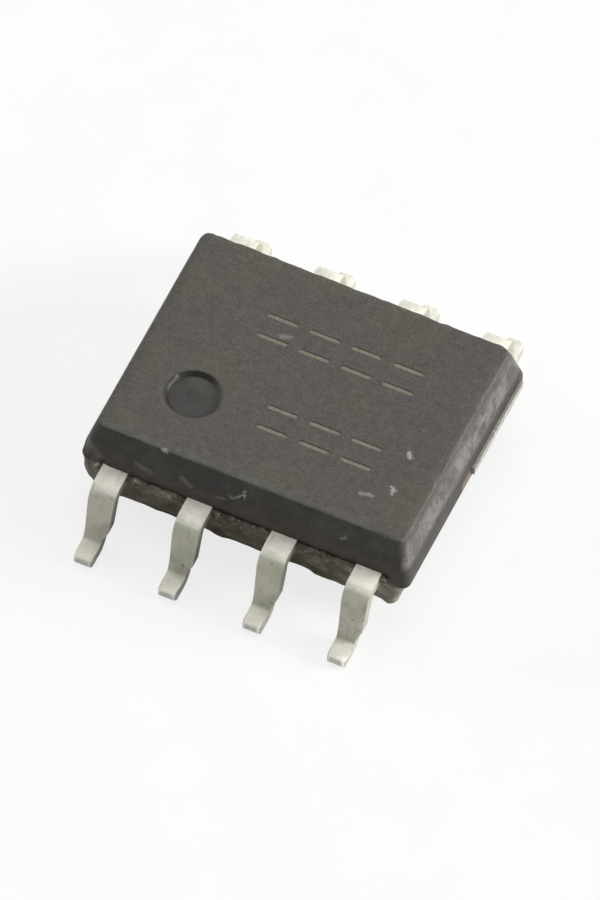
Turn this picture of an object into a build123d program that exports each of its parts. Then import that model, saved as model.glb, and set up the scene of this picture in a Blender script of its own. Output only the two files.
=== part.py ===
from build123d import *

import os
from math import radians, tan

# Eight-lead small-outline chip with formed gull-wing leads. Sizes are in millimetres.
# The origin is the centre of the package on the surface that the feet stand on.
# X runs along the package, Y across it and Z up. Pins 1 to 4 are on the -Y side,
# counted towards +X, and pins 5 to 8 are on the +Y side, counted back towards -X.

# Moulded body
body_length = 4.96
body_width = 3.96
upper_height = 0.63
lower_height = 0.72
standoff = 0.15
draft_angle = 15.0
mould_shift = 0.05
corner_radius = 0.12
face_corner_radius = 0.15
top_edge_radius = 0.025
bottom_edge_radius = 0.03

# Pin 1 dimple in the top face, and the ejector mark in the underside
dimple_radius = 0.395
dimple_floor_radius = 0.345
dimple_depth = 0.06
dimple_from_end = 1.18
dimple_from_side = 1.19
ejector_radius = 0.40
ejector_depth = 0.025

# Resin left on the parting line, between the leads and at the gate
flash_depth = 0.08
flash_end_margin = 0.10
flash_thickness = 0.12
flash_corner_cut = 0.18
flash_corner_lip = 0.015
gate_width = 1.68
gate_centre = 1.00
gate_depth = 0.05
gate_thickness = 0.14
gate_end_slope = 0.12

# Lead frame
pins_per_side = 4
pitch = 1.27
frame_thickness = 0.18
lead_span = 6.00
foot_run = 0.42
leg_lean = 16.0
shoulder_bend_radius = 0.05
foot_bend_radius = 0.06
shoulder_width = 0.38
foot_width = 0.31
taper_start = 0.48
taper_run = 0.14
toe_radius = 0.09
toe_underside_radius = 0.11

# Fingers inside the body
finger_gap = 0.20
inner_finger_width = 0.60
inner_finger_length = 0.36
neck_run = 0.20
corner_finger_width = 0.70
corner_finger_tip = 0.35
corner_finger_shoulder = 1.30

# Die paddle and its tie bars
paddle_length = 2.50
paddle_width = 1.70
paddle_downset = 0.15
paddle_corner_radius = 0.10
tie_bar_width = 0.30
downset_start = 0.14
downset_run = 0.26
downset_radius = 0.05

# Die, its adhesive and the bond wires
die_length = 1.50
die_width = 1.10
die_thickness = 0.25
adhesive_thickness = 0.02
adhesive_margin = 0.06
wire_diameter = 0.03
ball_diameter = 0.08
ball_height = 0.02
loop_height = 0.17
knee_height = 0.14
heel_run = 0.28
heel_overrun = 0.03
loop_bend_radius = 0.08
pad_from_edge = 0.10
outer_pad_from_side = 0.20
inner_pad_offset = 0.28
landing_from_tip = 0.12
corner_landing_from_tip = 0.30
corner_landing_from_edge = 0.23
stitch_diameter = 0.07
stitch_height = 0.008
wire_sides = 8
ball_sides = 12
stitch_sides = 8

# Heights above the seating plane
frame_bottom = standoff + lower_height
frame_top = frame_bottom + frame_thickness
frame_middle = frame_bottom + frame_thickness / 2
body_top = frame_top + upper_height
paddle_top = frame_top - paddle_downset
adhesive_top = paddle_top + adhesive_thickness
die_top = adhesive_top + die_thickness

# Half sizes and the bends of a lead, measured outwards from the middle of the package
half_length = body_length / 2
half_width = body_width / 2
toe = lead_span / 2
foot_corner = toe - foot_run
foot_middle = frame_thickness / 2
shoulder_corner = foot_corner - (frame_middle - foot_middle) * tan(radians(leg_lean))
bend_radii = [r + frame_thickness / 2 for r in (shoulder_bend_radius, foot_bend_radius)]
row_half_length = pitch * (pins_per_side - 1) / 2


def pin_places():
    """Number, place along X and side of each pin, counted round the package."""
    row = [i * pitch - row_half_length for i in range(pins_per_side)]
    near = [(i + 1, x, -1) for i, x in enumerate(row)]
    far = [(2 * pins_per_side - i, x, 1) for i, x in enumerate(row)]
    return near + far


def is_corner(x):
    """Whether the pin at x is the last in its row."""
    return abs(x) > row_half_length - pitch / 2


def finger_outline(x, side):
    """Corners of a lead seen from above, from its inner tip to its toe and back."""
    hand = 1 if x > 0 else -1
    half_shoulder = shoulder_width / 2
    half_foot = foot_width / 2
    taper_end = half_width + taper_start + taper_run
    if is_corner(x):
        inner_edge = paddle_length / 2 + finger_gap - abs(x)
        outer_edge = inner_edge + corner_finger_width
        tip = corner_finger_tip
        neck = corner_finger_shoulder
    else:
        inner_edge = -inner_finger_width / 2
        outer_edge = inner_finger_width / 2
        tip = paddle_width / 2 + finger_gap
        neck = tip + inner_finger_length
    half = [
        (outer_edge, tip),
        (outer_edge, neck),
        (half_shoulder, neck + neck_run),
        (half_shoulder, half_width + taper_start),
        (half_foot, taper_end),
        (half_foot, toe),
    ]
    other_half = [
        (-half_foot, toe),
        (-half_foot, taper_end),
        (-half_shoulder, half_width + taper_start),
        (-half_shoulder, neck + neck_run),
        (inner_edge, neck),
        (inner_edge, tip),
    ]
    return [(x + hand * across, side * outwards) for across, outwards in half + other_half]


# Leads: one strip each, punched to its outline and bent down to the foot
leads = []
lead_places = pin_places()
for number, x, side in lead_places:
    inner_end = corner_finger_tip if is_corner(x) else paddle_width / 2 + finger_gap
    toe_group = -1 if side > 0 else 0
    with BuildPart() as lead:
        with BuildSketch(Plane.YZ.offset(x)) as strip:
            with BuildLine():
                FilletPolyline(
                    (side * inner_end, frame_middle),
                    (side * shoulder_corner, frame_middle),
                    (side * foot_corner, foot_middle),
                    (side * toe, foot_middle),
                    radius=bend_radii,
                )
            trace(line_width=frame_thickness)
            under_toe = strip.vertices().sort_by_distance((side * toe, 0))[0]
            fillet(under_toe, radius=toe_underside_radius)
        extrude(amount=pitch / 2, both=True)
        with BuildSketch() as plan:
            with BuildLine():
                Polyline(*finger_outline(x, side), close=True)
            make_face()
            fillet(plan.vertices().group_by(Axis.Y)[toe_group], radius=toe_radius)
        extrude(amount=body_top, mode=Mode.INTERSECT)
    lead.part.label = f"lead_{number}"
    leads.append(lead.part)

# Die paddle: pressed down below the leads, and held by a tie bar to each end of the body
downset_outer = paddle_length / 2 + downset_start + downset_run
downset_inner = paddle_length / 2 + downset_start
paddle_middle = frame_middle - paddle_downset
with BuildPart() as paddle:
    with BuildSketch(Plane.XZ):
        with BuildLine():
            FilletPolyline(
                (-half_length, frame_middle),
                (-downset_outer, frame_middle),
                (-downset_inner, paddle_middle),
                (downset_inner, paddle_middle),
                (downset_outer, frame_middle),
                (half_length, frame_middle),
                radius=downset_radius + frame_thickness / 2,
            )
        trace(line_width=frame_thickness)
    extrude(amount=paddle_width / 2, both=True)
    with BuildSketch():
        RectangleRounded(paddle_length, paddle_width, paddle_corner_radius)
        Rectangle(body_length, tie_bar_width)
    extrude(amount=body_top, mode=Mode.INTERSECT)
paddle.part.label = "die_paddle"

# Adhesive under the die
with BuildPart() as adhesive:
    with BuildSketch(Plane.XY.offset(paddle_top)):
        RectangleRounded(
            die_length + 2 * adhesive_margin, die_width + 2 * adhesive_margin, adhesive_margin
        )
    extrude(amount=adhesive_thickness)
adhesive.part.label = "die_attach"

# Silicon die
with BuildPart() as die:
    with BuildSketch(Plane.XY.offset(adhesive_top)):
        Rectangle(die_length, die_width)
    extrude(amount=die_thickness)
die.part.label = "die"

# Bond wires: a ball on the die, a loop, and a flattened stitch on the finger.
# Each one runs into the finger's top face, where it is cut off flush.
drop = die_top - frame_top
heel_slope = (knee_height + drop) / heel_run
wires = []
for number, x, side in lead_places:
    hand = 1 if x > 0 else -1
    if is_corner(x):
        pad = Vector(
            hand * (die_length / 2 - pad_from_edge),
            side * (die_width / 2 - outer_pad_from_side),
            die_top,
        )
        landing = Vector(
            hand * (paddle_length / 2 + finger_gap + corner_landing_from_edge),
            side * (corner_finger_tip + corner_landing_from_tip),
            frame_top,
        )
    else:
        pad = Vector(hand * inner_pad_offset, side * (die_width / 2 - pad_from_edge), die_top)
        landing = Vector(x, side * (paddle_width / 2 + finger_gap + landing_from_tip), frame_top)
    along = Vector(landing.X - pad.X, landing.Y - pad.Y, 0)
    reach = along.length
    wire_plane = Plane(origin=pad, x_dir=along, z_dir=along.cross(Vector(0, 0, 1)))
    with BuildPart() as wire:
        with BuildLine(wire_plane) as loop:
            FilletPolyline(
                (0, 0),
                (0, loop_height),
                (reach - heel_run, knee_height),
                (reach + heel_overrun, -drop - heel_overrun * heel_slope),
                radius=loop_bend_radius,
            )
        with BuildSketch(Plane(origin=pad, x_dir=along, z_dir=(0, 0, 1))):
            RegularPolygon(wire_diameter / 2, wire_sides)
        sweep()
        split(bisect_by=Plane.XY.offset(frame_top), keep=Keep.TOP)
        with BuildSketch(Plane(origin=pad, x_dir=along, z_dir=(0, 0, 1))):
            RegularPolygon(ball_diameter / 2, ball_sides)
        extrude(amount=ball_height)
        with BuildSketch(Plane(origin=landing, x_dir=along, z_dir=(0, 0, 1))):
            RegularPolygon(stitch_diameter / 2, stitch_sides)
        extrude(amount=stitch_height)
    wire.part.label = f"bond_wire_{number}"
    wires.append(wire.part)

# Moulded body: two drafted halves with a band between them as thick as the lead frame.
# The lower half sits a little towards pin 1, as the two halves of a mould never line up.
upper_inset = upper_height * tan(radians(draft_angle))
lower_inset = lower_height * tan(radians(draft_angle))
with BuildPart() as body:
    with BuildSketch(Plane.XY.offset(frame_bottom)):
        RectangleRounded(body_length, body_width, corner_radius)
    extrude(amount=frame_thickness)
    with BuildSketch(Plane.XY.offset(frame_top)):
        RectangleRounded(body_length, body_width, corner_radius)
    with BuildSketch(Plane.XY.offset(body_top)):
        RectangleRounded(
            body_length - 2 * upper_inset, body_width - 2 * upper_inset, face_corner_radius
        )
    loft(ruled=True)
    with BuildSketch(Plane.XY.offset(standoff)):
        with Locations((-mould_shift, 0)):
            RectangleRounded(
                body_length - 2 * lower_inset, body_width - 2 * lower_inset, corner_radius
            )
    with BuildSketch(Plane.XY.offset(frame_bottom)):
        with Locations((-mould_shift, 0)):
            RectangleRounded(body_length, body_width, corner_radius)
    loft(ruled=True)
    fillet(body.faces().sort_by(Axis.Z)[-1].edges(), radius=top_edge_radius)
    fillet(body.faces().sort_by(Axis.Z)[0].edges(), radius=bottom_edge_radius)

    # Resin ledges along both sides, from the first lead of the row to the last
    with BuildSketch(Plane.XY.offset(frame_top - flash_thickness)):
        Rectangle(
            2 * row_half_length + shoulder_width + 2 * flash_end_margin,
            body_width + 2 * flash_depth,
        )
    extrude(amount=flash_thickness)

    # The far ledge runs on round the corner to the gate
    with BuildSketch(Plane.XY.offset(frame_top - flash_thickness)):
        with BuildLine():
            Polyline(
                (0, half_width),
                (0, half_width + flash_depth),
                (half_length - flash_corner_cut, half_width + flash_depth),
                (half_length + flash_corner_lip, half_width),
                (half_length + flash_corner_lip, gate_centre + gate_width / 2 - gate_end_slope),
                (0, gate_centre + gate_width / 2 - gate_end_slope),
                close=True,
            )
        make_face()
    extrude(amount=flash_thickness)

    # Broken gate at the end away from pin 1
    with BuildSketch(Plane.XY.offset(frame_top - gate_thickness)):
        with BuildLine():
            Polyline(
                (half_length - corner_radius, gate_centre - gate_width / 2),
                (half_length, gate_centre - gate_width / 2),
                (half_length + gate_depth, gate_centre - gate_width / 2 + gate_end_slope),
                (half_length + gate_depth, gate_centre + gate_width / 2 - gate_end_slope),
                (half_length, gate_centre + gate_width / 2),
                (half_length - corner_radius, gate_centre + gate_width / 2),
                close=True,
            )
        make_face()
    extrude(amount=gate_thickness)

    # Pin 1 dimple with its sloping wall
    with BuildSketch(Plane.XY.offset(body_top)):
        with Locations((dimple_from_end - half_length, dimple_from_side - half_width)):
            Circle(dimple_radius)
    with BuildSketch(Plane.XY.offset(body_top - dimple_depth)):
        with Locations((dimple_from_end - half_length, dimple_from_side - half_width)):
            Circle(dimple_floor_radius)
    loft(mode=Mode.SUBTRACT)

    # Round mark of the ejector pin in the underside
    with BuildSketch(Plane.XY.offset(standoff)):
        Circle(ejector_radius)
    extrude(amount=ejector_depth, mode=Mode.SUBTRACT)

    # Room for all that the resin was moulded round
    for piece in leads + [paddle.part, adhesive.part, die.part] + wires:
        add(piece, mode=Mode.SUBTRACT)
body.part.label = "body"

os.makedirs("parts", exist_ok=True)
for piece in [body.part] + leads + [paddle.part, adhesive.part, die.part] + wires:
    export_step(piece, f"parts/{piece.label}.step")
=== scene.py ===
# %% [markdown]
# # A small-outline chip, dressed in Blender
#
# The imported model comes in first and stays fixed: it says where every piece of the chip is.
# Around it this script sets up a camera, a floor and soft lights, then models the pieces that
# show again with finer edges, and gives every surface a finish.
#
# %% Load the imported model
import math

import bmesh
import bpy
from mathutils import Matrix, Vector


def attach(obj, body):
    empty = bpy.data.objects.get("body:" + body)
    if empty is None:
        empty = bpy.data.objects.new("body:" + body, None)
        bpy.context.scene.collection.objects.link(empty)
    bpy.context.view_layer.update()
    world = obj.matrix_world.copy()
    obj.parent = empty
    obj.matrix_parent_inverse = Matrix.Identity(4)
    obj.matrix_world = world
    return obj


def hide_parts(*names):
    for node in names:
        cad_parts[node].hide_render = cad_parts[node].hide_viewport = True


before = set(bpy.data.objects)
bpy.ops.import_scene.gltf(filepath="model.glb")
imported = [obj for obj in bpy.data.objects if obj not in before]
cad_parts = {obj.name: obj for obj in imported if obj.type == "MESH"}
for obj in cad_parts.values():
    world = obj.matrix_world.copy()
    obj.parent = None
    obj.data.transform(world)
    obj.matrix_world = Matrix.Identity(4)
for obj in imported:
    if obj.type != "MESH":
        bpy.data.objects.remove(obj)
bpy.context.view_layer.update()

bpy.ops.object.select_all(action="DESELECT")

# %% [markdown]
# ## Working at bench scale
#
# The chip is 5 mm long, so in metres every bevel would be some hundred-thousandths, and tools that
# merge near points would eat it. A watchmaker uses a loupe: here each piece is modelled with one
# unit for a millimetre and shrunk a thousandfold when it is finished. So all sizes below are in
# millimetres.
#
# %% Sizes of the package, in millimetres
MM = 0.001
body_length = 4.96
body_width = 3.96
half_length = body_length / 2
half_width = body_width / 2
body_top = 1.68
frame_top = 1.05
frame_thickness = 0.18
frame_bottom = frame_top - frame_thickness
standoff = 0.15
draft = math.radians(15)
mould_shift = 0.05
pitch = 1.27
pin_places = [-1.5 * pitch, -0.5 * pitch, 0.5 * pitch, 1.5 * pitch]
print("body", body_length, "by", body_width, "and", round(body_top - standoff, 3), "high")

# %% [markdown]
# ## The camera
#
# The photograph was taken with a long lens, from the near right and well above, with the picture
# turned a little. The three angles and the scale were found by fitting the corners of the chip to
# the picture. The camera's own axes are built from the angles: its back points from the chip to
# the lens, right and up lie in the picture.
#
# %% Camera
picture_height = 900
picture_scale = 72.908          # pixels for each millimetre at the chip
camera_azimuth = math.radians(21.45)
camera_elevation = math.radians(54.743)
camera_roll = math.radians(3.623)
camera_distance = 381.5
aim = Vector((0, 0, 0.8))
aim_right_of_middle = 1.388     # pixels
aim_above_middle = 27.155       # pixels

across = math.cos(camera_elevation)
back = Vector((
    math.sin(camera_azimuth) * across,
    -math.cos(camera_azimuth) * across,
    math.sin(camera_elevation),
))
level_right = Vector((math.cos(camera_azimuth), math.sin(camera_azimuth), 0))
level_up = back.cross(level_right)
right = level_right * math.cos(camera_roll) + level_up * math.sin(camera_roll)
up = level_up * math.cos(camera_roll) - level_right * math.sin(camera_roll)
middle = aim - (right * aim_right_of_middle + up * aim_above_middle) / picture_scale

camera = bpy.data.objects.new("camera", bpy.data.cameras.new("camera"))
bpy.context.scene.collection.objects.link(camera)
camera.matrix_world = Matrix.Translation((middle + back * camera_distance) * MM) @ Matrix((
    right, up, back
)).transposed().to_4x4()
camera.data.sensor_fit = "VERTICAL"
camera.data.sensor_height = 36
camera.data.lens = picture_scale * camera_distance * camera.data.sensor_height / picture_height
bpy.context.scene.camera = camera
bpy.context.scene.view_settings.view_transform = "Standard"
print("lens", round(camera.data.lens), "mm, camera at", tuple(round(v, 4) for v in camera.location))

# %% [markdown]
# ## Node materials, a few lines at a time
#
# A material is a small network. Writing each node and each link out is long, so one helper adds a
# node, sets its options and fills or links its sockets. Patterns read Object coordinates, which
# stay on the piece when it moves, and are scaled so that one step is a millimetre.
#
# %% Colours and nodes
def linear(red, green, blue):
    """A colour as a picture stores it, 0 to 255, turned into the light that a shader works with."""
    def one(value):
        """One channel of the three."""
        value = value / 255
        return value / 12.92 if value <= 0.04045 else ((value + 0.055) / 1.055) ** 2.4
    return (one(red), one(green), one(blue), 1)


def add(material, kind, options=None, **sockets):
    """Add a node. Sockets are named in words with _ for a space, and take a value or an output."""
    node = material.node_tree.nodes.new(kind)
    for name, value in (options or {}).items():
        setattr(node, name, value)
    for name, value in sockets.items():
        place = name.split("__")
        found = [s for s in node.inputs if s.name.lower() == place[0].replace("_", " ").lower()]
        found = [s for s in found if s.enabled] or found
        socket = found[int(place[1])] if len(place) > 1 else found[0]
        if isinstance(value, bpy.types.NodeSocket):
            material.node_tree.links.new(value, socket)
        else:
            socket.default_value = value
    return node


def new_material(name):
    """An empty material with the piece's own coordinates in millimetres."""
    material = bpy.data.materials.new(name)
    material.use_nodes = True
    material.node_tree.nodes.clear()
    own = add(material, "ShaderNodeTexCoord").outputs["Object"]
    scaled = add(
        material, "ShaderNodeVectorMath", {"operation": "MULTIPLY"},
        Vector=own, Vector__1=(1 / MM, 1 / MM, 1 / MM),
    )
    return material, scaled.outputs["Vector"]


# %% [markdown]
# ## Patterns
#
# Three nodes make most of the patterns here. Noise gives soft clouds, a mapping in front of it draws
# them out to streaks, and a smooth ramp behind it says where the cloud starts to show and how
# strongly. Nearly every stain below is noise with a ramp.
#
# %% Noise, stretch and ramp
def noise(material, place, scale, detail=3.0, roughness=0.5, distortion=0.0):
    """Soft cloudy values about 0.5, with scale lumps to the millimetre."""
    node = add(
        material, "ShaderNodeTexNoise", Vector=place, Scale=scale, Detail=detail,
        Roughness=roughness, Distortion=distortion,
    )
    return node.outputs["Fac"]


def stretch(material, place, size, turn=(0, 0, 0)):
    """The same place squeezed or drawn out along turned axes, for streaks and scratches."""
    return add(
        material, "ShaderNodeMapping", Vector=place, Scale=size, Rotation=turn
    ).outputs["Vector"]


def ramp(material, value, low, high, to_low=0.0, to_high=1.0):
    """A value that goes smoothly from one level to another between low and high."""
    node = add(
        material, "ShaderNodeMapRange", {"interpolation_type": "SMOOTHSTEP"}, Value=value,
        From_Min=low, From_Max=high, To_Min=to_low, To_Max=to_high,
    )
    return node.outputs["Result"]


# %% [markdown]
# ## Sums, mixes and the shader
#
# Layers are put over each other by mixing two colours, and a product of two patterns keeps a layer to
# where both are high. At the end of every network stands the same shader, which takes the colour,
# the roughness and the small hills of the surface.
#
# %% Sums, mixes and the shader
def math_node(material, operation, first, second=None):
    """One sum on one or two values."""
    values = {"Value": first} if second is None else {"Value": first, "Value__1": second}
    return add(material, "ShaderNodeMath", {"operation": operation}, **values).outputs["Value"]


def times(material, first, second):
    """Two values multiplied, so that a layer shows only where both of them are high."""
    return math_node(material, "MULTIPLY", first, second)


def mix(material, amount, first, second):
    """Two colours mixed by an amount."""
    node = add(
        material, "ShaderNodeMix", {"data_type": "RGBA"}, Factor=amount, A=first, B=second
    )
    return next(s for s in node.outputs if s.type == "RGBA")


def parts_of(material, place):
    """The x, y and z of a place in millimetres."""
    node = add(material, "ShaderNodeSeparateXYZ", Vector=place)
    return node.outputs["X"], node.outputs["Y"], node.outputs["Z"]


def bump(material, height, depth, strength=1.0):
    """Turn a 0 to 1 pattern into small hills of a depth in millimetres."""
    return add(
        material, "ShaderNodeBump", Height=height, Distance=depth * MM, Strength=strength
    ).outputs["Normal"]


def surface(material, **sockets):
    """The shader that all the finishes end in."""
    shader = add(material, "ShaderNodeBsdfPrincipled", **sockets)
    add(material, "ShaderNodeOutputMaterial", Surface=shader.outputs["BSDF"])
    return material


# %% [markdown]
# ## Floor
#
# The chip stands on plain white paper. A flat plane would do, but paper under a real lamp is never
# as white as the photograph's ground, which was lifted to pure white. So what the camera sees of the
# paper is mostly its own white glow and partly the lit paper, and the shadow stays, but light. For
# every other ray it is paper, which throws a little light back under the chip.
#
# %% Floor
floor_size = 1.2                # metres, far larger than the chip
own_white = 0.78                # share of the glow in what the camera sees


def white_paper():
    """Paper with a faint grain, lifted towards white for the camera only."""
    material, place = new_material("white_paper")
    grain = ramp(material, noise(material, place, 0.7, 4.0), 0.3, 0.7)
    tone = mix(material, grain, linear(238, 238, 236), linear(244, 244, 243))
    paper = add(material, "ShaderNodeBsdfDiffuse", Color=tone)
    glow = add(material, "ShaderNodeEmission", Color=(1, 1, 1, 1), Strength=1.0)
    camera_ray = add(material, "ShaderNodeLightPath").outputs["Is Camera Ray"]
    both = add(material, "ShaderNodeMixShader", Fac=times(material, camera_ray, own_white))
    material.node_tree.links.new(paper.outputs["BSDF"], both.inputs[1])
    material.node_tree.links.new(glow.outputs["Emission"], both.inputs[2])
    add(material, "ShaderNodeOutputMaterial", Surface=both.outputs["Shader"])
    return material


bpy.ops.mesh.primitive_plane_add(size=floor_size, location=(0, 0, 0))
floor = bpy.context.object
floor.name = "floor"
floor.data.materials.append(white_paper())
print("floor is", floor_size, "m wide")

# %% [markdown]
# ## Lights
#
# The photograph's light is soft and comes from behind and from the right: the right end of the body
# is the brightest dark surface, the near side is almost black and the tops of the leads are pale.
# One broad lamp stands there, a second hangs above, a weak one on the left lifts that end, and the
# world fills in the rest. The world is dim for the light that it gives and plain white where the
# camera looks past the floor.
#
# %% Lights
def lamp(name, place, size, watts):
    """A square lamp that looks at the chip. Place and size are in millimetres."""
    light = bpy.data.objects.new(name, bpy.data.lights.new(name, "AREA"))
    bpy.context.scene.collection.objects.link(light)
    light.location = Vector(place) * MM
    light.rotation_euler = Vector(place).to_track_quat("Z", "Y").to_euler()
    light.data.shape = "SQUARE"
    light.data.size = size * MM
    light.data.energy = watts


lamp("key", (165, 60, 46), 90, 0.58)
lamp("overhead", (-20, 60, 200), 140, 0.17)
lamp("left", (-170, 20, 60), 70, 0.12)
print("lamps:", [light.name for light in bpy.data.lights])

# %% The world as fill light and white ground
room_light = 0.17


def seen_directly(material):
    """1 where the camera looks, straight or in a reflection, and 0 for light on its way."""
    ray = add(material, "ShaderNodeLightPath")
    seen = math_node(material, "ADD", ray.outputs["Is Camera Ray"], ray.outputs["Is Glossy Ray"])
    return math_node(material, "ADD", seen, ray.outputs["Is Transmission Ray"])


world = bpy.data.worlds.new("soft_room")
bpy.context.scene.world = world
world.use_nodes = True
world.node_tree.nodes.clear()
fill = add(world, "ShaderNodeBackground", Color=(1, 1, 1, 1), Strength=room_light)
white = add(world, "ShaderNodeBackground", Color=(1, 1, 1, 1), Strength=1.0)
either = add(world, "ShaderNodeMixShader", Fac=seen_directly(world))
world.node_tree.links.new(fill.outputs["Background"], either.inputs[1])
world.node_tree.links.new(white.outputs["Background"], either.inputs[2])
add(world, "ShaderNodeOutputWorld", Surface=either.outputs["Shader"])
print("world has", len(world.node_tree.nodes), "nodes")

# %% [markdown]
# ## Marks left by handling
#
# The body is black epoxy filled with ground glass, and this one has been handled, so the top and the
# near side carry small pale scratches. They could be painted on a picture, but a picture has a size
# and blurs close up. So each scratch is a short line between two points, with half its width and
# its strength, and the pattern asks how far a place is from that line.
#
# %% Marks left by handling
dimple_radius = 0.395
dimple_place = Vector((-1.30, -0.79, body_top))
face_inset = (body_top - frame_top) * math.tan(draft)
face_edge = half_width - face_inset
scratches = [
    # from, to, half width, strength
    ((1.77, -0.40, body_top), (1.81, -0.46, body_top), 0.035, 0.9),
    ((1.80, -1.02, body_top), (1.83, -1.12, body_top), 0.03, 0.8),
    ((1.78, -1.03, body_top), (1.86, -1.05, body_top), 0.025, 0.7),
    ((1.44, -1.29, body_top), (1.60, -1.27, body_top), 0.03, 0.5),
    ((-0.62, 0.62, body_top), (-0.50, 0.66, body_top), 0.04, 0.35),
    ((-1.62, -0.62, body_top), (-1.55, -0.70, body_top), 0.04, 0.4),
    ((-1.29, -face_edge, body_top), (-1.25, -face_edge, body_top - 0.03), 0.04, 0.9),
    ((-0.04, -1.86, 1.50), (-0.02, -1.88, 1.37), 0.016, 0.9),
    ((-0.03, -1.87, 1.46), (-0.20, -1.90, 1.31), 0.018, 0.8),
    ((-0.20, -1.90, 1.31), (-0.26, -1.90, 1.37), 0.016, 0.6),
    ((-0.42, -1.92, 1.24), (-0.30, -1.92, 1.26), 0.02, 0.4),
    ((1.50, -1.89, 1.42), (1.44, -1.90, 1.36), 0.02, 0.5),
    ((-0.95, -1.91, 1.32), (-0.82, -1.92, 1.25), 0.05, 0.3),
    ((-1.62, -1.92, 1.26), (-1.40, -1.93, 1.22), 0.05, 0.3),
]


def far_from_line(material, place, start, end):
    """How far a place is from the line between two points, in millimetres."""
    start, run = Vector(start), Vector(end) - Vector(start)
    offset = add(
        material, "ShaderNodeVectorMath", {"operation": "SUBTRACT"}, Vector=place, Vector__1=start
    ).outputs["Vector"]
    share = add(
        material, "ShaderNodeVectorMath", {"operation": "DOT_PRODUCT"}, Vector=offset,
        Vector__1=run / run.length_squared,
    ).outputs["Value"]
    share = add(material, "ShaderNodeClamp", Value=share).outputs["Result"]
    nearest = add(
        material, "ShaderNodeVectorMath", {"operation": "SCALE"}, Vector=run, Scale=share
    ).outputs["Vector"]
    return add(
        material, "ShaderNodeVectorMath", {"operation": "DISTANCE"}, Vector=offset, Vector__1=nearest
    ).outputs["Value"]


def scratched(material, place, colour, fine):
    """Every scratch as a pale line, its edges torn by the fine pattern."""
    torn = times(material, math_node(material, "SUBTRACT", fine, 0.5), 0.16)
    for start, end, half, strength in scratches:
        distance = math_node(material, "ADD", far_from_line(material, place, start, end), torn)
        shown = ramp(material, distance, half * 0.3, half * 1.3, strength * 0.8, 0)
        colour = mix(material, shown, colour, linear(176, 173, 168))
    return colour


print("scratches:", len(scratches))

# %% [markdown]
# ## Skin of the moulding
#
# Fresh from the mould the epoxy is black. Handled and cleaned, it has gone a warm dark grey: large
# soft patches, mottling in two sizes, faint drawn streaks and dark grains. Such a skin is built in
# layers, from the largest to the smallest. Each layer is a short function that takes the colour so
# far and gives it back with the layer on it, so a layer can be tried or left out by itself.
#
# %% Skin of the moulding
def skin(material, place, mottling, fine):
    """Warm grey in soft patches, with mottling, drawn streaks and dark grains."""
    patches = ramp(material, noise(material, place, 0.8, 3.0), 0.35, 0.65)
    colour = mix(material, patches, linear(78, 73, 71), linear(80, 78, 67))
    spots = [
        # pattern, share, dark, pale
        (mottling, 0.32, linear(52, 49, 45), linear(100, 97, 91)),
        (fine, 0.30, linear(46, 44, 40), linear(106, 103, 97)),
    ]
    for pattern, share, dark, pale in spots:
        spotted = mix(material, ramp(material, pattern, 0.34, 0.66), dark, pale)
        colour = mix(material, share, colour, spotted)
    drawn = stretch(material, place, (1.0, 9.0, 3.0), (0, 0, 0.35))
    streaks = ramp(material, noise(material, drawn, 1.6, 5.0, 0.65), 0.55, 0.78, 0, 0.35)
    colour = mix(material, streaks, colour, linear(108, 105, 101))
    grains = add(
        material, "ShaderNodeTexVoronoi", Vector=place, Scale=16.0, Randomness=1.0
    ).outputs["Distance"]
    return mix(material, ramp(material, grains, 0.0, 0.16, 0.35, 0), colour, linear(34, 33, 31))


def rim_and_sides(material, place, colour, on_top, mottling):
    """Paler in a wavering band along the near rim of the top; the sides painted darker as shade, with
    smudges.
    """
    outwards = times(material, parts_of(material, place)[1], -1.0)
    wavering = math_node(material, "ADD", outwards, times(material, mottling, 0.5))
    rim = ramp(material, wavering, face_edge + 0.05, face_edge + 0.32, 0, 0.5)
    colour = mix(material, times(material, rim, on_top), colour, linear(98, 98, 97))
    smudges = ramp(material, noise(material, place, 1.7, 5.0, 0.7, 0.5), 0.46, 0.68)
    # Painted shade: every face but the top is darkened towards this tone, which also carries smudges.
    side_shade_and_smudges = mix(material, smudges, linear(40, 36, 34), linear(72, 69, 67))
    return mix(material, ramp(material, on_top, 0, 1, 0.65, 0), colour, side_shade_and_smudges)


# %% [markdown]
# ## Darker in the dimple
#
# The dimple is darker than the face round it: its floor a little, the corner between the wall and the
# floor more, as a dark ring that is heavier on the far left, and the place round the small nub.
# Both are worked out from the distance to the dimple's axis, so they stay with it when it moves.
#
# %% Darker in the dimple
def dimple_darkening(material, place, colour):
    """A darker floor, a dark ring on the wall and a darker place round the nub."""
    x, y = parts_of(material, place)[:2]
    off_axis = far_from_line(material, place, dimple_place, dimple_place - Vector((0, 0, 1)))
    # The dimple is made darker here: its floor, a ring where the wall meets the floor, and round the
    # nub.
    hollow = ramp(material, off_axis, dimple_radius - 0.06, dimple_radius - 0.03, 0.3, 0)
    colour = mix(material, hollow, colour, linear(52, 51, 48))
    ring = times(
        material, ramp(material, off_axis, dimple_radius - 0.075, dimple_radius - 0.045),
        ramp(material, off_axis, dimple_radius, dimple_radius + 0.025, 1, 0),
    )
    leftwards = math_node(material, "SUBTRACT", times(material, y, 0.5), x)
    centre = dimple_place.y * 0.5 - dimple_place.x
    far_left = ramp(material, leftwards, centre - 0.15, centre + 0.15, 0.35, 0.95)
    colour = mix(material, times(material, ring, far_left), colour, linear(26, 25, 23))
    whirl = ramp(material, noise(material, place, 6.0, 3.0, 0.5, 1.5), 0.4, 0.6, 0.3, 0.9)
    nub_darkening = times(material, ramp(material, off_axis, 0.04, 0.18, 1, 0), whirl)
    return mix(material, nub_darkening, colour, linear(40, 39, 36))
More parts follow.
